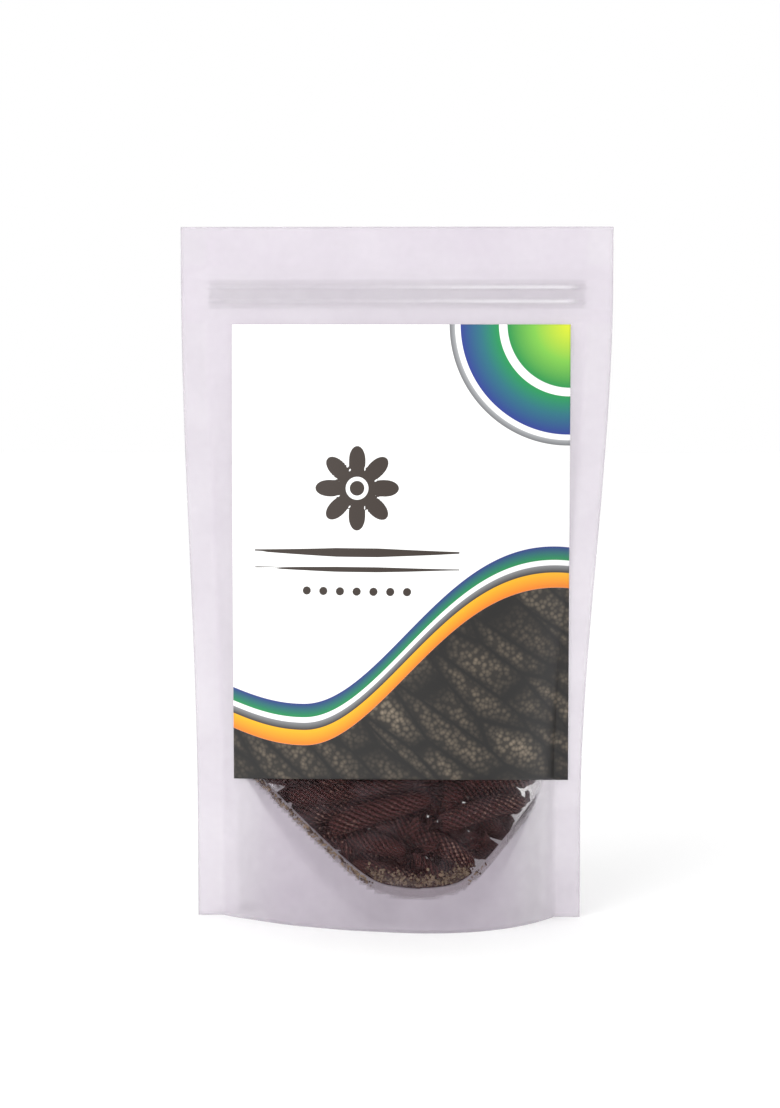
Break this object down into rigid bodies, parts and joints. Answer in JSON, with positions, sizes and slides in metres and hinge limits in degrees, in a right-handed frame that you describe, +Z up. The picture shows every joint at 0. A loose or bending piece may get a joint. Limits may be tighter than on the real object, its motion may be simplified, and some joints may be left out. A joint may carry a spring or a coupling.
{
  "type": "stand-up pouch of long pepper",
  "caption": "Frosted zip-top stand-up pouch with a gusseted base and a plain patterned label, part filled with dried long pepper spikes.",
  "frame": {"origin": "on the surface that the pouch stands on, under the middle of its top edge", "axes": "+Z up, +X along the width to the viewer's right, -Y towards the labelled front"},
  "size_m": [0.13, 0.0481, 0.21],
  "materials": {
    "frosted_film": "frosted translucent polyethylene laminate, soft sheen",
    "zip_polyethylene": "extruded natural polyethylene",
    "label_paper": null,
    "dried_spice": "dried plant matter, matte, knobbly"
  },
  "bodies": {
    "root": {"front_film": "frosted_film", "back_film": "frosted_film", "bottom_gusset": "frosted_film", "zip_rib": "zip_polyethylene", "zip_groove": "zip_polyethylene", "front_label": "label_paper", "pepper_01": "dried_spice", "pepper_02": "dried_spice", "pepper_03": "dried_spice", "pepper_04": "dried_spice", "pepper_05": "dried_spice", "pepper_06": "dried_spice", "pepper_07": "dried_spice", "pepper_08": "dried_spice", "pepper_09": "dried_spice", "pepper_10": "dried_spice", "pepper_11": "dried_spice", "pepper_12": "dried_spice", "pepper_13": "dried_spice", "pepper_14": "dried_spice", "pepper_15": "dried_spice", "pepper_16": "dried_spice", "pepper_17": "dried_spice", "pepper_18": "dried_spice", "pepper_19": "dried_spice", "pepper_20": "dried_spice", "pepper_21": "dried_spice", "pepper_22": "dried_spice", "pepper_23": "dried_spice", "pepper_24": "dried_spice", "pepper_25": "dried_spice", "pepper_26": "dried_spice", "pepper_27": "dried_spice", "pepper_28": "dried_spice", "pepper_29": "dried_spice", "pepper_30": "dried_spice", "pepper_31": "dried_spice", "pepper_32": "dried_spice", "pepper_33": "dried_spice", "pepper_34": "dried_spice", "pepper_35": "dried_spice", "pepper_36": "dried_spice", "pepper_37": "dried_spice", "pepper_38": "dried_spice", "pepper_39": "dried_spice", "pepper_40": "dried_spice", "pepper_41": "dried_spice", "pepper_42": "dried_spice", "pepper_43": "dried_spice", "pepper_44": "dried_spice", "pepper_45": "dried_spice", "pepper_46": "dried_spice", "pepper_47": "dried_spice", "pepper_48": "dried_spice", "pepper_49": "dried_spice", "pepper_50": "dried_spice", "pepper_51": "dried_spice", "pepper_52": "dried_spice", "pepper_53": "dried_spice", "pepper_54": "dried_spice"}
  },
  "joints": []
}
